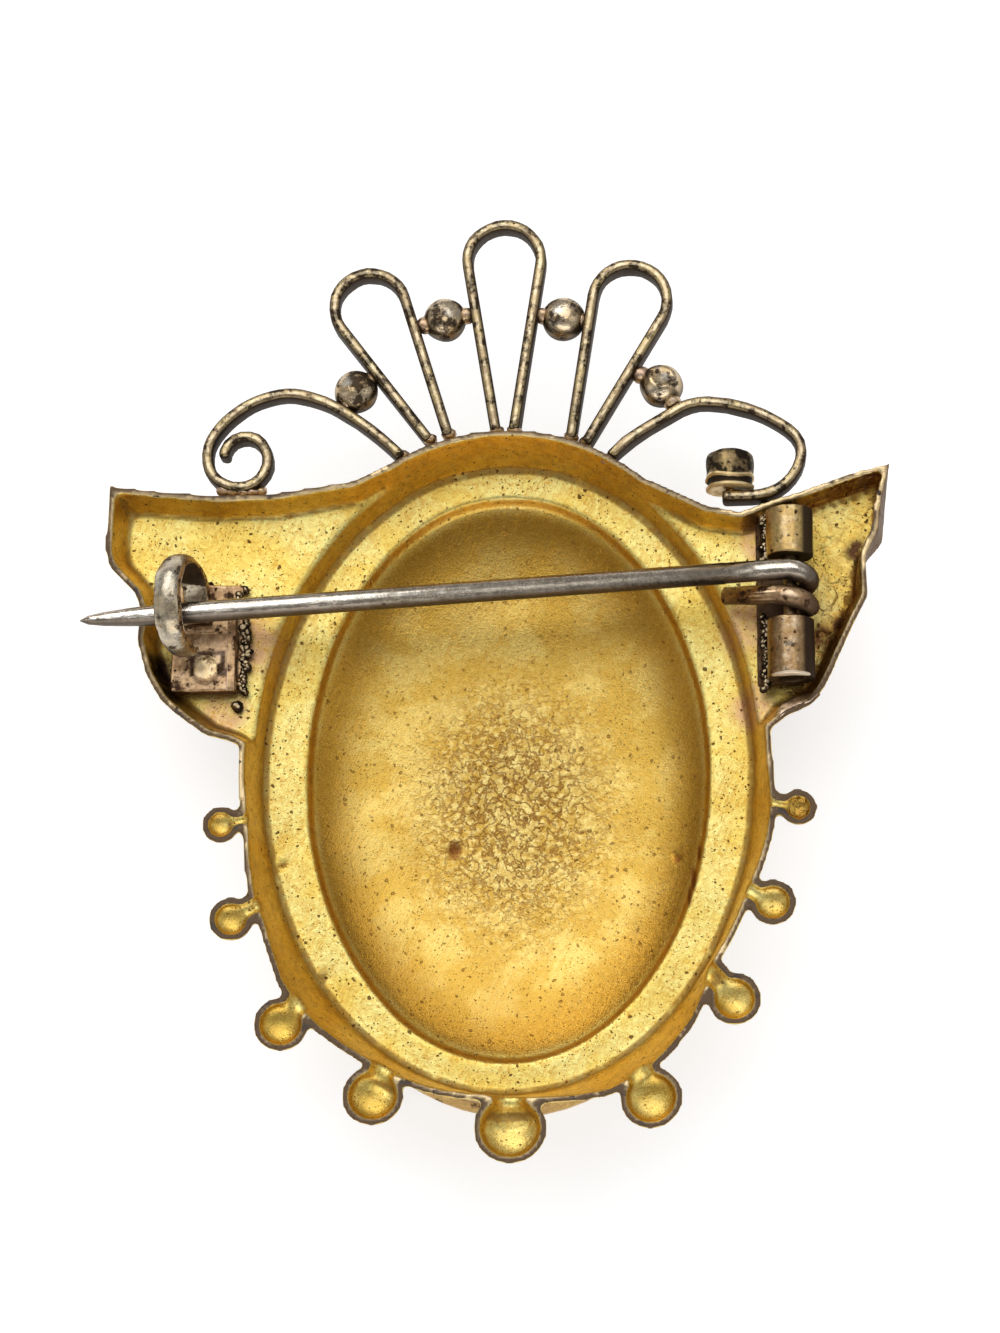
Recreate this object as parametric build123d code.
from build123d import *
import math
import os

# Cameo brooch, lying face down: +Z is the back with the pin, +Y is the crest.
# Places are measured from the middle of the oval. The finished pieces are moved
# together, so that the origin is under the middle of the whole brooch.
# All sizes are in millimetres.

# Stamped shell
sheet = 0.35
ring_half_width = 12.6
ring_half_height = 16.5
dish_half_width = 10.35
dish_half_height = 14.9
dish_depth = 2.2
wall_depth = 3.3
wing_depth = 1.7
wing_half_span = 20.15
wing_height = 14.3
wing_foot = 1.4
rim_flare = 1.1
bead_radius = 1.85
bead_neck = 0.62
bead_sides = 20
sharpest_corner = 0.7
oval_sides = 72

# Front stone and its bezel
bezel_height = 4.42
bezel_foot = 0.3
bezel_wall = 0.45
bezel_grip = 0.3
lip_width = 0.4
stone_wall = 0.55
stone_girdle = 2.2
stone_dome = 1.1
fit_gap = 0.03
dome_gap = 0.15

# Crest of flat wire and balls
wire_width = 0.56
wire_depth = 1.3
ball_radius = 1.16
loop_steps = 18
spiral_steps = 9
spiral_start = 155
spiral_turn = 385

# Pin with its coil, rivet and hinge
pin_diameter = 1.1
pin_overhang = 6.25
pin_slant = 3.2
tip_length = 4.2
tip_radius = 0.03
tip_steps = [(0, 0.4, 0.85), (0.4, 0.7, 0.66), (0.7, 0.9, 0.42), (0.9, 1, 0)]
rivet_diameter = 0.7
running_gap = 0.05
side_gap = 0.08
stem_gap = 0.3
stem_start = 3.3
coil_turns = 1.25
coil_pitch = 1.45
coil_step = 15
coil_thinning = 0.98
tail_reach = 3.3
tail_fall = 30
tail_drift = 0.45
tail_thinning = 0.85
wire_sides = 16
knuckle_diameter = 2.4
upper_knuckle = 2.5
lower_knuckle = 3.1
opening_diameter = 1.3
opening_depth = 0.45
saddle_width = 1.3
hinge_reach = 0.7246
hinge_height = 0.6227
plate_thickness = 0.4
plate_width = 2.4
plate_shift = 0.55
plate_setback = 0.15

# Catch
catch_reach = 0.7593
foot_width = 3.4
foot_length = 5.7
foot_thickness = 0.4
block_width = 3.3
block_shift = 0.1
block_length = 3.2
block_height = 0.75
dot_diameter = 1.3
dot_height = 0.08
hook_rise = 0.37
hook_shift = 0.45
foot_lead = 3.95
hook_diameter = 5.3
hook_strip = 0.5
hook_width = 1.35
hook_lean = 12
hook_start = -100
hook_end = 194
hook_steps = 36

# Stub of a tube beside the crest
stub_reach = 0.9206
stub_height = 0.8606
stub_diameter = 2.6
stub_length = 2.1
stub_groove = 0.8
stub_groove_depth = 0.1
stub_round = 0.5

# Making: how far a cutting body reaches past a surface, how flat a flat quad is
overshoot = 1
flat_enough = 1e-7
standing = (Align.CENTER, Align.CENTER, Align.MIN)

# Levels worked out from the sizes above
seat_level = bezel_height + fit_gap
ring_level = seat_level + sheet
rim_level = ring_level + wall_depth
wing_level = rim_level - wing_depth
stone_half_width = dish_half_width + sheet + dome_gap + stone_wall
stone_half_height = dish_half_height + sheet + dome_gap + stone_wall
coil_radius = rivet_diameter / 2 + running_gap + pin_diameter / 2
hinge_x = hinge_reach * wing_half_span
upper_face = wing_foot + hinge_height * wing_height
stem_y = upper_face - stem_gap - pin_diameter / 2
lower_face = stem_y - coil_turns * coil_pitch - pin_diameter / 2 - side_gap
catch_x = -catch_reach * wing_half_span
hook_y = stem_y - (hinge_x - catch_x) * math.tan(math.radians(pin_slant)) + hook_rise
foot_y = hook_y - foot_lead
pin_reach = (hinge_x - catch_x) / math.cos(math.radians(pin_slant)) + pin_overhang
plate_top = wing_level + fit_gap + plate_thickness
hinge_z = plate_top + running_gap + coil_radius + pin_diameter / 2
foot_top = wing_level + fit_gap + foot_thickness
wire_level = rim_level - wire_depth
bezel_level = seat_level - fit_gap - bezel_height
stub_x = stub_reach * ring_half_width
stub_foot_y = stub_height * ring_half_height

# Rim of the oval: angle in degrees, flare beyond the ring as a share of the rim flare
rim_flares = [
    (-10, 1.25), (-18, 1.25), (-26, 1.0), (-34, 0.95), (-46, 0.85), (-53, 1.6),
    (-64, 1.9), (-72, 1.85), (-83, 1.1), (-94, 0.8), (-106, 1.15), (-114, 1.2),
    (-125, 1.7), (-134, 1.8), (-145, 1.25), (-152, 1.3), (-163, 0.85), (-180, 0.8),
    (-200, 0.9), (-245, 1.0), (-270, 1.0), (-300, 1.0), (-340, 0.9), (-360, 0.9),
]

# Hollow beads: angle in degrees, then reach of the centre beyond the ring and radius
# as shares of the largest bead's radius
beads = [
    (-10, 1.297, 0.524), (-29, 1.162, 0.649), (-47, 1.405, 0.741),
    (-67, 1.676, 0.865), (-89, 1.189, 1.0), (-111, 1.297, 0.849),
    (-130, 1.568, 0.768), (-150, 1.378, 0.632), (-168, 1.054, 0.541),
]

# Wing rims: outward share of the half span, upward share of the height,
# lean of the wall as a share of the wing's depth
left_wing = [
    (0.28, 1.02, 0.18), (0.385, 0.951, 0.21), (0.584, 0.912, 0.24), (0.723, 0.905, 0.24),
    (0.885, 0.926, 0.26), (1.012, 0.953, 0.35), (1.02, 0.71, 0.35), (1.01, 0.65, 0.35),
    (0.942, 0.545, 0.32), (0.922, 0.47, 0.29), (0.935, 0.38, 0.29),
    (0.912, 0.25, 0.29), (0.87, 0.144, 0.35), (0.818, 0.08, 0.35), (0.754, 0.015, 0.29),
    (0.69, -0.01, 0.24), (0.62, -0.06, 0.18), (0.4, -0.06, 0.18), (0.2, 0.6, 0.18),
]
right_wing = [
    (0.2, 1.03, 0.18), (0.38, 0.931, 0.21), (0.515, 0.834, 0.24), (0.6, 0.805, 0.15),
    (0.682, 0.851, 0.15), (0.748, 0.875, 0.15), (0.88, 0.941, 0.18), (0.982, 0.975, 0.21),
    (0.958, 0.84, -0.12), (0.945, 0.72, -0.18), (0.918, 0.635, 0.06),
    (0.922, 0.488, 0.24), (0.888, 0.397, 0.29), (0.858, 0.303, 0.29), (0.83, 0.212, 0.29),
    (0.805, 0.14, 0.35), (0.774, 0.083, 0.47), (0.711, 0.045, 0.47), (0.671, 0.004, 0.29),
    (0.6, -0.03, 0.18), (0.4, -0.03, 0.18), (0.2, 0.6, 0.18),
]

# Crest, all as shares: across of the ring's half width, along of its half height,
# radii of the half width
# Crest loops: two feet, middle and radius of the head
loops = {
    "left_loop": ((-0.3056, 1.042), (-0.2262, 1.054), (-0.5516, 1.482), 0.1476),
    "centre_loop": ((-0.0317, 1.054), (0.0397, 1.054), (0.0024, 1.627), 0.1524),
    "right_loop": ((0.2738, 1.036), (0.3373, 1.018), (0.5198, 1.485), 0.1524),
}

# Crest scrolls: points along the middle of the wire, from the rim outward
left_sweep = [
    (-0.4127, 0.9818), (-0.7063, 1.161), (-0.9048, 1.2), (-1.056, 1.164),
    (-1.175, 1.085),
]
spiral_middle = (-1.075, 0.9939)
spiral_start_radius = 0.1476
spiral_end_radius = 0.073
right_sweep = [
    (0.4127, 0.9576), (0.5397, 1.042), (0.6825, 1.109), (0.7738, 1.142),
    (0.8651, 1.142), (1.032, 1.109), (1.135, 1.067), (1.206, 1.006),
    (1.202, 0.9394), (1.159, 0.8848), (1.095, 0.8485), (1.024, 0.8364),
    (0.8889, 0.8364),
]

# Balls soldered between the wires: name, place
balls = {
    "ball_1": (-0.6095, 1.21),
    "ball_2": (-0.2444, 1.441),
    "ball_3": (0.2452, 1.435),
    "ball_4": (0.6452, 1.207),
}


def polar(reach, degrees):
    """Point at a reach and an angle from the middle of the oval."""
    angle = math.radians(degrees)
    return (reach * math.cos(angle), reach * math.sin(angle))


def crest_place(share):
    """Place in the crest from its shares of the ring's half sizes."""
    return (share[0] * ring_half_width, share[1] * ring_half_height)


def flat_faces(corners):
    """One face for a flat quad, two triangles for a twisted one."""
    a, b, c, d = [Vector(*corner) for corner in corners]
    normal = (b - a).cross(c - a)
    if abs(normal.dot(d - a)) < flat_enough:
        return [Face(Wire.make_polygon([a, b, c, d]))]
    return [Face(Wire.make_polygon([a, b, c])), Face(Wire.make_polygon([a, c, d]))]


def skin(rows):
    """Closed solid through rings of points, the first and last ring capped flat."""
    faces = [Face(Wire.make_polygon(rows[0][::-1])), Face(Wire.make_polygon(rows[-1]))]
    for low, high in zip(rows, rows[1:]):
        for i in range(len(low)):
            j = i - 1
            faces += flat_faces([low[j], low[i], high[i], high[j]])
    return Solid(Shell(faces))


def oval(half_width, half_height, z):
    """Ring of points on an ellipse."""
    steps = [2 * math.pi * (i + 0.5) / oval_sides for i in range(oval_sides)]
    return [(half_width * math.cos(a), half_height * math.sin(a), z) for a in steps]


def ring_reach(degrees):
    """Distance from the middle to the outer edge of the ring."""
    across, along = polar(1, degrees)
    return 1 / math.hypot(across / ring_half_width, along / ring_half_height)


def flare_at(degrees):
    """Flare of the rim at an angle, even between the rows of the table."""
    turned = -((-degrees - 10) % 360) - 10
    closed = rim_flares + [(rim_flares[0][0] - 360, rim_flares[0][1])]
    for (start, low), (end, high) in zip(closed, closed[1:]):
        if end <= turned <= start:
            share = (start - turned) / (start - end)
            return rim_flare * (low + share * (high - low))
    return rim_flare


def oval_body(grow, top):
    """Oval from the level of the ring up to the flared rim."""
    edge = sheet + grow
    foot = oval(ring_half_width + edge, ring_half_height + edge, ring_level - edge)
    rim = []
    for x, y, _ in foot:
        degrees = math.degrees(math.atan2(y, x))
        rim.append(polar(ring_reach(degrees) + flare_at(degrees) + grow, degrees))
    return skin([foot, [(x, y, rim_level) for x, y in rim], [(x, y, top) for x, y in rim]])


def dish_rows(edge):
    """Rows of the dish, steep at its edge and nearly flat in the middle."""
    rows = []
    for share in (0.18, 0.36, 0.54, 0.7, 0.82, 0.91, 0.97, 1.0):
        drop = dish_depth * (1 - share**4) ** 0.5
        size = (share * (dish_half_width + edge), share * (dish_half_height + edge))
        rows.append(oval(*size, ring_level - edge - drop))
    return rows


def dish_body(grow):
    """Dish as a block that reaches up into the ring."""
    edge = sheet + grow
    top = oval(dish_half_width + edge, dish_half_height + edge, ring_level - edge + sheet / 4)
    return skin(dish_rows(edge) + [top])


def moved_corners(corners, distances):
    """Outline with each corner moved outward by its own distance."""
    moved = []
    for i, corner in enumerate(corners):
        here = Vector(*corner)
        before = (here - Vector(*corners[i - 1])).normalized()
        after = (Vector(*corners[(i + 1) % len(corners)]) - here).normalized()
        outward = (before + after).cross(Vector(0, 0, 1)).normalized()
        square = before.cross(Vector(0, 0, 1)).dot(outward)
        place = here + outward * (distances[i] / max(square, sharpest_corner))
        moved.append((place.X, place.Y))
    return moved


def wing_body(table, side, grow, top):
    """Wing from its plate up to its rim."""
    rows = table[::-side]
    corners = [(side * u * wing_half_span, wing_foot + v * wing_height) for u, v, _ in rows]
    rim = moved_corners(corners, [grow for _ in rows])
    plate = moved_corners(corners, [grow - lean * wing_depth for _, _, lean in rows])
    low = [(x, y, wing_level - sheet - grow) for x, y in plate]
    return skin([low, [(x, y, rim_level) for x, y in rim], [(x, y, top) for x, y in rim]])


def bead_body(degrees, reach, radius, grow):
    """Round hollow bead, its mouth at the rim, with a half-round neck to the oval."""
    size = radius + grow
    x, y = polar(ring_reach(degrees) + reach, degrees)
    rows = []
    for drop in (80, 55, 30, 0):
        wide, deep = polar(size, drop)
        circle = [polar(wide, 360 * i / bead_sides) for i in range(bead_sides)]
        rows.append([(x + u, y + v, rim_level - deep) for u, v in circle])
    rows.append([(u, v, rim_level + overshoot) for u, v, _ in rows[-1]])
    neck = []
    for along in (0, -reach - sheet):
        half_round = [polar(bead_neck * radius + grow, 180 + 22.5 * i) for i in range(9)]
        outline = [(u, rim_level + v) for u, v in half_round]
        outline += [(outline[i][0], rim_level + overshoot) for i in (-1, 0)]
        turned = [polar(1, degrees), polar(1, degrees + 90)]
        neck.append([
            (x + along * turned[0][0] + u * turned[1][0], y + along * turned[0][1] + u * turned[1][1], z)
            for u, z in outline
        ])
    return skin(rows) + skin(neck)


def shell_body(grow, top):
    """Whole stamped form, as a solid block."""
    body = oval_body(grow, top) + dish_body(grow)
    body += wing_body(left_wing, -1, grow, top)
    body += wing_body(right_wing, 1, grow, top)
    for degrees, reach, radius in beads:
        body += bead_body(degrees, reach * bead_radius, radius * bead_radius, grow)
    return body


def make_shell():
    """Thin stamped shell, open at the back."""
    block = shell_body(0, rim_level + overshoot)
    hollow = shell_body(-sheet, rim_level + 2 * overshoot)
    return cut_at_rim(block) - hollow


def cut_at_rim(body):
    """What of a body lies below the level of the rim."""
    far = 4 * (ring_half_height + wing_half_span)
    return body - Pos(0, 0, rim_level) * Box(far, far, far, align=standing)


def make_cameo():
    """Carved stone's blank: an oval with a rounded front and a hollow back."""
    front = seat_level - fit_gap - stone_girdle
    seat = seat_level - fit_gap
    edge = sheet + dome_gap
    rows = []
    for share in (0.25, 0.5, 0.7, 0.85, 0.95, 1.0):
        size = (share * stone_half_width, share * stone_half_height)
        rows.append(oval(*size, front - stone_dome * (1 - share**2)))
    rows.append(oval(stone_half_width, stone_half_height, seat))
    rows.append(oval(dish_half_width + edge, dish_half_height + edge, seat))
    return skin(rows + dish_rows(edge)[::-1])


def make_bezel():
    """Collar round the stone, with a grip over its edge and a sloped lip."""
    front = seat_level - fit_gap - stone_girdle
    inner = (stone_half_width + fit_gap, stone_half_height + fit_gap)
    grip_level = front - fit_gap - stone_dome * (1 - ((inner[0] - bezel_grip) / inner[0]) ** 2)
    outside = [
        (bezel_wall + lip_width, bezel_level),
        (bezel_wall + lip_width, bezel_level + lip_width),
        (bezel_wall, bezel_level + 2 * lip_width),
        (bezel_wall, seat_level - fit_gap - 2 * bezel_foot),
        (bezel_wall + bezel_foot, seat_level - fit_gap - bezel_foot),
        (bezel_wall + bezel_foot, seat_level - fit_gap),
    ]
    hole = [
        (bezel_wall, bezel_level - overshoot),
        (bezel_wall, bezel_level),
        (-bezel_grip - fit_gap, grip_level),
    ]
    collar = skin([oval(inner[0] + out, inner[1] + out, z) for out, z in outside])
    collar -= skin([oval(inner[0] + out, inner[1] + out, z) for out, z in hole])
    return collar - skin([oval(*inner, grip_level), oval(*inner, seat_level + overshoot)])


def ribbon(line, width, low, high):
    """Flat wire on its edge along a dense line of points."""
    left = []
    right = []
    for i, (x, y) in enumerate(line):
        before = line[max(i - 1, 0)]
        after = line[min(i + 1, len(line) - 1)]
        run = (after[0] - before[0], after[1] - before[1])
        half = width / 2 / math.hypot(*run)
        left.append((x - run[1] * half, y + run[0] * half))
        right.append((x + run[1] * half, y - run[0] * half))
    outline = Wire.make_polygon(right + left[::-1])
    return extrude(Pos(0, 0, low) * Face(outline), high - low)


def tangent_angle(foot, head, radius, side):
    """Angle on the head's circle where a straight leg from a foot touches it."""
    run = (foot[0] - head[0], foot[1] - head[1])
    return math.degrees(math.atan2(run[1], run[0]) + side * math.acos(radius / math.hypot(*run)))


def loop_line(foot_a, foot_b, head, radius):
    """Middle line of a loop: straight leg, round head and straight leg."""
    start = tangent_angle(foot_a, head, radius, -1) + 360
    end = tangent_angle(foot_b, head, radius, 1)
    line = [foot_a]
    for i in range(loop_steps + 1):
        across, along = polar(radius, start + (end - start) * i / loop_steps)
        line.append((head[0] + across, head[1] + along))
    return line + [foot_b]


def smooth_line(points, steps):
    """Dense line of points along a smooth curve."""
    curve = Spline(*points)
    dense = [curve @ (i / steps) for i in range(steps + 1)]
    return [(point.X, point.Y) for point in dense]


def spiral_line():
    """Middle line of the left scroll: the sweep, then a closing spiral."""
    line = [crest_place(share) for share in left_sweep]
    middle = crest_place(spiral_middle)
    for i in range(spiral_steps + 1):
        turned = i / spiral_steps
        radius = spiral_start_radius + turned * (spiral_end_radius - spiral_start_radius)
        across, along = polar(radius * ring_half_width, spiral_start + spiral_turn * turned)
        line.append((middle[0] + across, middle[1] + along))
    return smooth_line(line, 3 * loop_steps)


def wire_lines():
    """Middle line of each crest wire by name."""
    lines = {}
    for name, (foot_a, foot_b, head, radius) in loops.items():
        places = [crest_place(share) for share in (foot_a, foot_b, head)]
        lines[name] = loop_line(*places, radius * ring_half_width)
    lines["left_scroll"] = spiral_line()
    lines["right_scroll"] = smooth_line([crest_place(row) for row in right_sweep], 2 * loop_steps)
    return lines


def make_crest():
    """Crest wires and stub, trimmed to the rim they stand on, and the balls between them."""
    above = rim_level + wire_depth
    seat = oval_body(fit_gap, above)
    seat += wing_body(left_wing, -1, fit_gap, above)
    seat += wing_body(right_wing, 1, fit_gap, above)
    parts = {"stub": biggest(make_stub() - seat)}
    spread = {}
    for name, line in wire_lines().items():
        parts[name] = biggest(ribbon(line, wire_width, wire_level, rim_level) - seat)
        margin = wire_width + 2 * fit_gap
        spread[name] = ribbon(line, margin, wire_level - fit_gap, rim_level + fit_gap)
    for name, share in balls.items():
        ball = Pos(*crest_place(share), (wire_level + rim_level) / 2) * Sphere(ball_radius)
        for wire in spread.values():
            ball = ball - wire
        parts[name] = biggest(ball)
    return parts


def biggest(shape):
    """Largest solid of a shape."""
    return max(shape.solids(), key=lambda solid: solid.volume)


def make_stub():
    """Short barrel with a rounded end and a groove near its foot."""
    barrel = Cylinder(stub_diameter / 2, stub_length, align=standing)
    barrel = fillet(barrel.edges().sort_by(Axis.Z)[-1], stub_round)
    groove = Cylinder(stub_diameter, stub_groove, align=standing)
    groove -= Cylinder(stub_diameter / 2 - stub_groove_depth, stub_groove, align=standing)
    barrel -= Pos(0, 0, stub_groove_depth) * groove
    return Pos(stub_x, stub_foot_y, (wire_level + rim_level) / 2) * Rot(-90, 0, 0) * barrel


def along_y(diameter, start, length):
    """Cylinder along +Y about the hinge axis."""
    rod = Rot(-90, 0, 0) * Cylinder(diameter / 2, length, align=standing)
    return Pos(hinge_x, start, hinge_z) * rod


def make_hinge():
    """Base plate with two tube knuckles on saddles."""
    low_end = lower_face - lower_knuckle
    high_end = upper_face + upper_knuckle
    length = high_end - low_end - 2 * plate_setback
    plate = Box(plate_width, length, plate_thickness, align=standing)
    middle = (low_end + high_end) / 2
    hinge = Pos(hinge_x - plate_shift, middle, plate_top - plate_thickness) * plate
    for start, span in ((low_end, lower_knuckle), (upper_face, upper_knuckle)):
        setback = plate_setback
        saddle = Box(saddle_width, span - 2 * setback, hinge_z - plate_top, align=standing)
        hinge += along_y(knuckle_diameter, start, span)
        hinge += Pos(hinge_x, start + span / 2, plate_top) * saddle
    bore_length = high_end - low_end + 2 * overshoot
    hinge -= along_y(rivet_diameter + 2 * fit_gap, low_end - overshoot, bore_length)
    hinge -= along_y(opening_diameter, low_end - overshoot, overshoot + opening_depth)
    hinge -= along_y(opening_diameter, high_end - opening_depth, overshoot + opening_depth)
    return hinge


def make_rivet():
    """Rivet through both knuckles and the coil."""
    start = lower_face - lower_knuckle + opening_depth
    end = upper_face + upper_knuckle - opening_depth
    return along_y(rivet_diameter, start, end - start)


def tube(line, radii):
    """Round wire of changing radius along a line of points."""
    rows = []
    side = Vector(0, 0, 1)
    for i, here in enumerate(line):
        ahead = line[min(i + 1, len(line) - 1)] - line[max(i - 1, 0)]
        ahead = ahead.normalized()
        side = (side - ahead * side.dot(ahead)).normalized()
        other = ahead.cross(side)
        row = []
        for k in range(wire_sides):
            across, along = polar(radii[i], 360 * k / wire_sides)
            point = here + side * across + other * along
            row.append((point.X, point.Y, point.Z))
        rows.append(row)
    return skin(rows)


def make_pin():
    """Pin: ground tip, straight stem, coil round the rivet and a tail down to the plate."""
    radius = pin_diameter / 2
    stem = Pos(0, 0, stem_start) * Cylinder(radius, pin_reach - tip_length - stem_start, align=standing)
    low = radius
    for start, end, share in tip_steps:
        high = max(tip_radius, share * radius)
        cone = Cone(low, high, (end - start) * tip_length, align=standing)
        stem += Pos(0, 0, pin_reach - tip_length + start * tip_length) * cone
        low = high
    slanted = Rot(0, 0, pin_slant) * Rot(0, -90, 0)
    top = Vector(hinge_x, stem_y, hinge_z + coil_radius)
    back = Vector(-math.cos(math.radians(pin_slant)), -math.sin(math.radians(pin_slant)), 0)
    line = [top + back * (stem_start + radius), top + back * coil_radius]
    for degrees in range(0, round(360 * coil_turns) + 1, coil_step):
        across, along = polar(coil_radius, 90 - degrees)
        line.append(Vector(hinge_x + across, stem_y - coil_pitch * degrees / 360, hinge_z + along))
    coil = tube(line, [coil_thinning * radius for _ in line])
    across, along = polar(coil_radius, 90 + tail_fall)
    start = Vector(hinge_x + across, stem_y - coil_pitch * (1 - tail_fall / 360), hinge_z + along)
    run = tail_reach + across
    end = start + Vector(-run, tail_drift, -run * math.tan(math.radians(tail_fall)))
    tail = tube([start, end], [coil_thinning * radius, coil_thinning * radius * tail_thinning])
    return Pos(top.X, top.Y, top.Z) * slanted * stem + coil + tail


def make_catch():
    """Catch: foot plate, block with a rivet head, and a strip bent to a hook."""
    foot = Box(foot_width, foot_length, foot_thickness, align=standing)
    catch = Pos(catch_x + plate_setback, foot_y + foot_length / 2, foot_top - foot_thickness) * foot
    block = Box(block_width, block_length, block_height, align=standing)
    catch += Pos(catch_x - block_shift, foot_y - plate_setback + block_length / 2, foot_top) * block
    dot = Cylinder(dot_diameter / 2, block_height + dot_height, align=standing)
    catch += Pos(catch_x, foot_y + dot_diameter / 2 + 2 * plate_setback, foot_top) * dot
    return catch + make_hook()


def make_hook():
    """Strip bent to a hook, leaning outward, with its mouth over the block."""
    outer = hook_diameter / 2
    points = []
    turn = (hook_end - hook_start) / hook_steps
    there = range(hook_steps + 1)
    for radius, order in ((outer, there), (outer - hook_strip, reversed(there))):
        for i in order:
            across, along = polar(radius, hook_start + turn * i)
            points.append((0, across, along + outer))
    strip = extrude(Face(Wire.make_polygon(points)), hook_width / 2, dir=(1, 0, 0), both=True)
    place = Pos(catch_x - hook_shift, hook_y, foot_top - hook_strip / 2)
    return place * Rot(0, -hook_lean, 0) * strip


def make_parts():
    """Every piece by name."""
    parts = {
        "shell": make_shell(),
        "bezel": make_bezel(),
        "cameo": make_cameo(),
        "hinge": make_hinge(),
        "rivet": make_rivet(),
        "pin": make_pin(),
        "catch": make_catch(),
    }
    parts.update(make_crest())
    boxes = [part.bounding_box() for part in parts.values()]
    middle_x = (min(box.min.X for box in boxes) + max(box.max.X for box in boxes)) / 2
    middle_y = (min(box.min.Y for box in boxes) + max(box.max.Y for box in boxes)) / 2
    return {name: Pos(-middle_x, -middle_y, 0) * part for name, part in parts.items()}


if __name__ == "__main__":
    os.makedirs("parts", exist_ok=True)
    for name, part in make_parts().items():
        print(name, len(part.solids()), round(part.volume, 2), part.is_valid)
        export_step(part, "parts/" + name + ".step")
